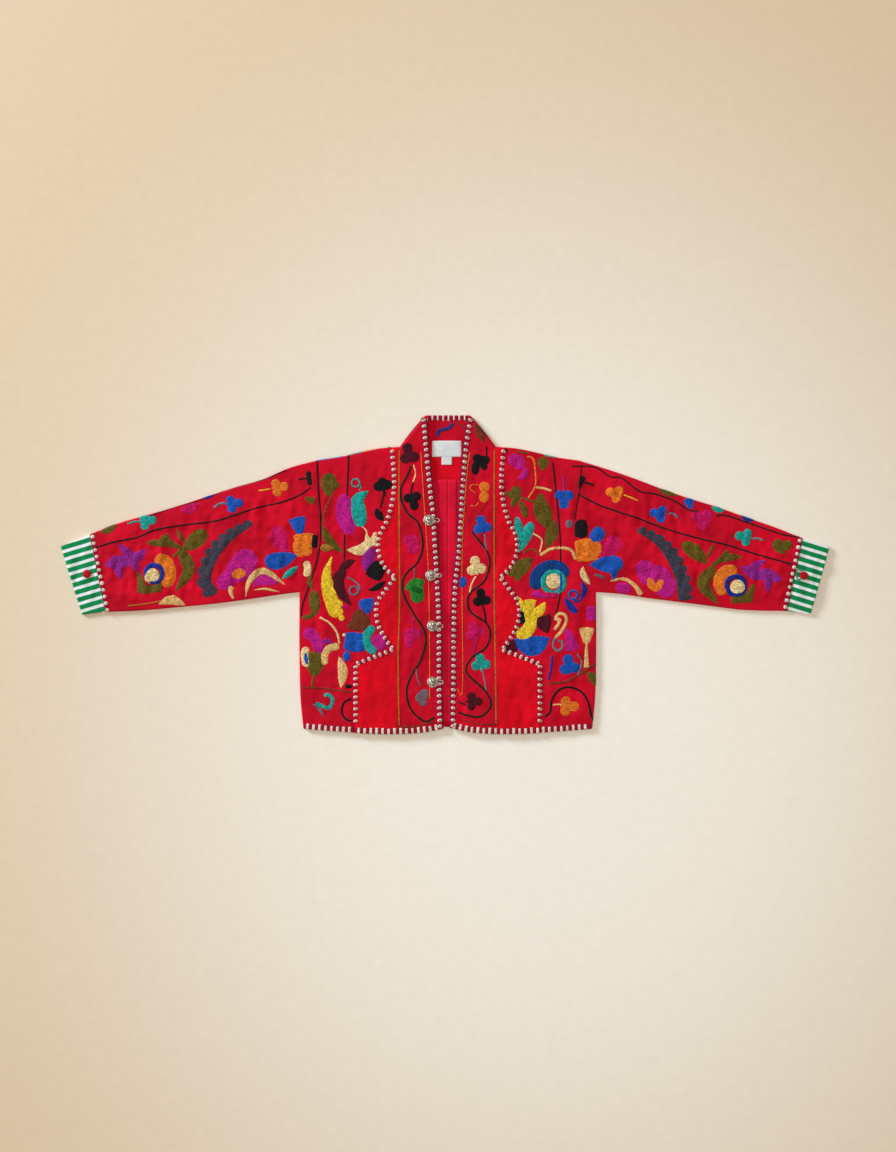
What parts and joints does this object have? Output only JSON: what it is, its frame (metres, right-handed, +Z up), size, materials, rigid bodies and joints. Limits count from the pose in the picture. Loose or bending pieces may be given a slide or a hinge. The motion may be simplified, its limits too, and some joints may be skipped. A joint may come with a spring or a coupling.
{
  "type": "jacket",
  "caption": "Cropped open-fronted cotton jacket lying flat on its back, with scalloped plain overlays, a buttoned front band and striped cuffs.",
  "frame": {"origin": "on the surface that the jacket lies on, under the middle of its bounding box", "axes": "+X the way the wearer's left sleeve points, +Y the way the collar points, +Z up from the surface"},
  "size_m": [1.3813, 0.57, 0.0134],
  "materials": {
    "red_cotton": "matt red cotton with coloured chain-stitch embroidery",
    "plain_red_cotton": "matt plain-woven red cotton",
    "pink_lining": "matt pinkish red cotton lining",
    "striped_cotton": "matt cotton twill with green and white stripes",
    "label_tape": "satin-woven white tape, bare",
    "silver_metal": "aged silver-coloured metal with a raised ornament",
    "red_button": "polished dark red"
  },
  "bodies": {
    "root": {"back": "red_cotton", "collar": "red_cotton", "front_right": "red_cotton", "front_left": "red_cotton", "band_right": "red_cotton", "band_left": "red_cotton", "sleeve_right": "red_cotton", "sleeve_left": "red_cotton", "overlay_right": "plain_red_cotton", "overlay_left": "plain_red_cotton", "neck_facing": "plain_red_cotton", "cuff_right": "striped_cotton", "cuff_left": "striped_cotton", "lining": "pink_lining", "neck_label": "label_tape", "size_tab": "label_tape", "button_1": "silver_metal", "button_2": "silver_metal", "button_3": "silver_metal", "button_4": "silver_metal", "cuff_button_right": "red_button", "cuff_button_left": "red_button"}
  },
  "joints": []
}
